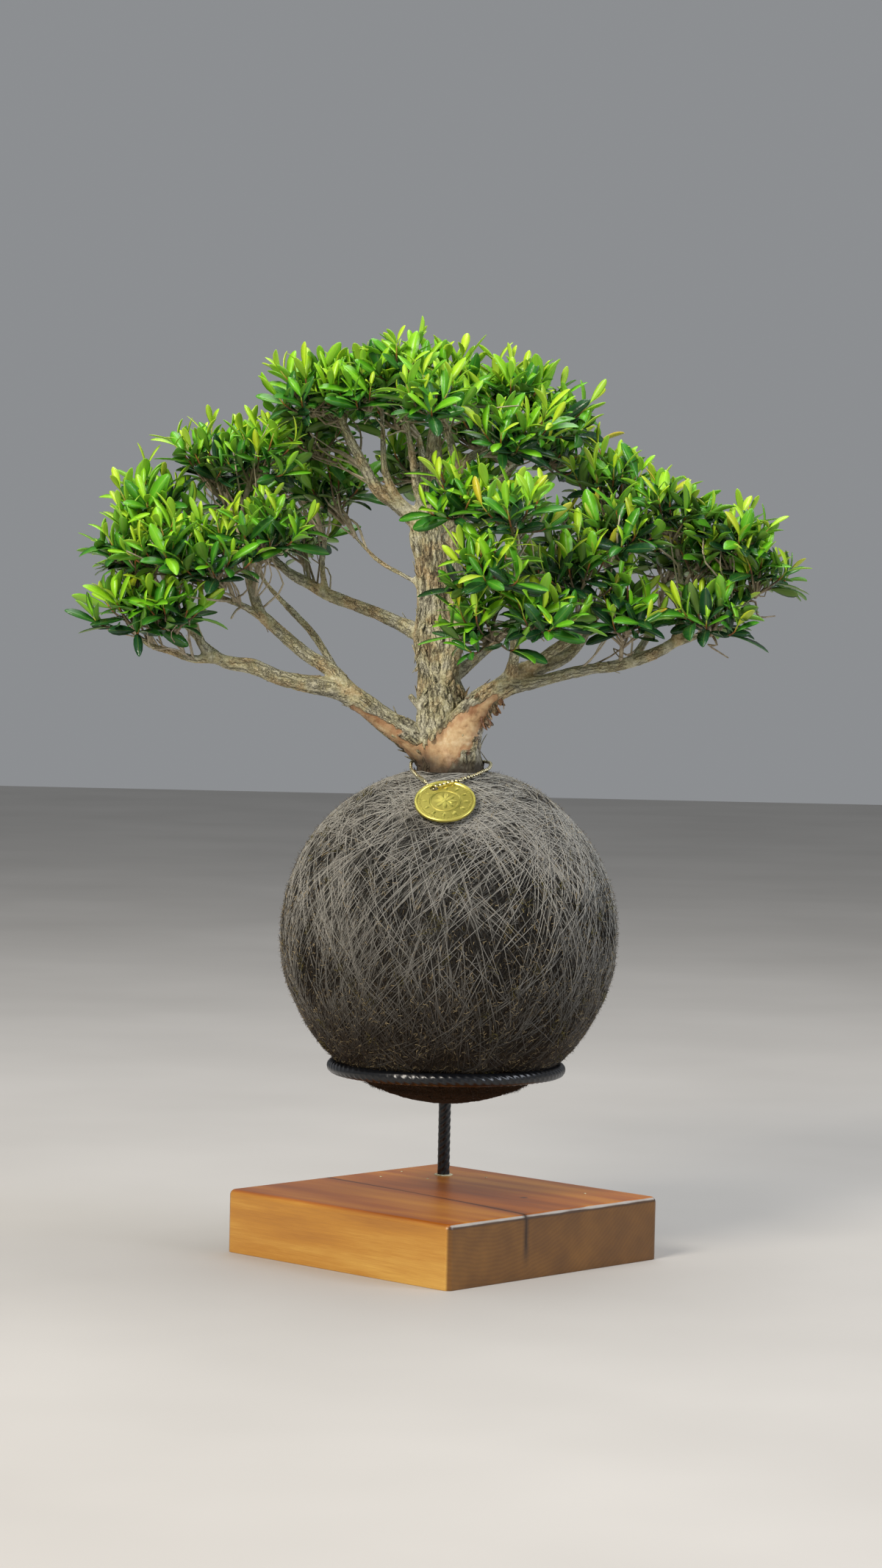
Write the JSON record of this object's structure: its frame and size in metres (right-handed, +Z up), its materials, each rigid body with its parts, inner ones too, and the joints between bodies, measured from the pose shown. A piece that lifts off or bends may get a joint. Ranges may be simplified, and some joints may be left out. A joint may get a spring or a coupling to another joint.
{
  "type": "kokedama bonsai on a ring stand",
  "caption": "Small evergreen bonsai growing from a thread-wound moss ball that rests on a steel ring stand with a wooden base.",
  "frame": {"origin": "middle of the wooden base's underside", "axes": "+Z up along the plant's height; -Y towards the front, where the medal hangs and one corner of the base points; +X to the right seen from the front"},
  "size_m": [0.4416, 0.2826, 0.5694],
  "materials": {
    "oiled_wood": "satin",
    "wood_filler": "matte",
    "black_enamel": "gloss",
    "soil": "matte",
    "moss": "matte",
    "thread": "matte",
    "bark": "matte",
    "foliage": "satin",
    "gilt_brass": "polished"
  },
  "bodies": {
    "root": {"base_block": "oiled_wood", "stem_filler": "wood_filler", "stem_bar": "black_enamel", "ring_bar": "black_enamel", "weld_bead": "black_enamel", "soil_ball": "soil", "moss_layer": "moss", "thread_wrap": "thread", "trunk_and_limbs": "bark", "bead_chain": "gilt_brass", "chain_clasp": "gilt_brass", "medal": "gilt_brass", "leafy_spray_01": "foliage", "leafy_spray_02": "foliage", "leafy_spray_03": "foliage", "leafy_spray_04": "foliage", "leafy_spray_05": "foliage", "leafy_spray_06": "foliage", "leafy_spray_07": "foliage", "leafy_spray_08": "foliage", "leafy_spray_09": "foliage", "leafy_spray_10": "foliage", "leafy_spray_11": "foliage", "leafy_spray_12": "foliage", "leafy_spray_13": "foliage", "leafy_spray_14": "foliage", "leafy_spray_15": "foliage", "leafy_spray_16": "foliage", "leafy_spray_17": "foliage", "leafy_spray_18": "foliage", "leafy_spray_19": "foliage", "leafy_spray_20": "foliage", "leafy_spray_21": "foliage", "leafy_spray_22": "foliage", "leafy_spray_23": "foliage", "leafy_spray_24": "foliage", "leafy_spray_25": "foliage", "leafy_spray_26": "foliage", "leafy_spray_27": "foliage", "leafy_spray_28": "foliage", "leafy_spray_29": "foliage", "leafy_spray_30": "foliage", "leafy_spray_31": "foliage", "leafy_spray_32": "foliage", "leafy_spray_33": "foliage", "leafy_spray_34": "foliage", "leafy_spray_35": "foliage", "leafy_spray_36": "foliage", "leafy_spray_37": "foliage", "leafy_spray_38": "foliage", "leafy_spray_39": "foliage", "leafy_spray_40": "foliage", "leafy_spray_41": "foliage", "leafy_spray_42": "foliage", "leafy_spray_43": "foliage", "leafy_spray_44": "foliage", "leafy_spray_45": "foliage", "leafy_spray_46": "foliage", "leafy_spray_47": "foliage"}
  },
  "joints": []
}
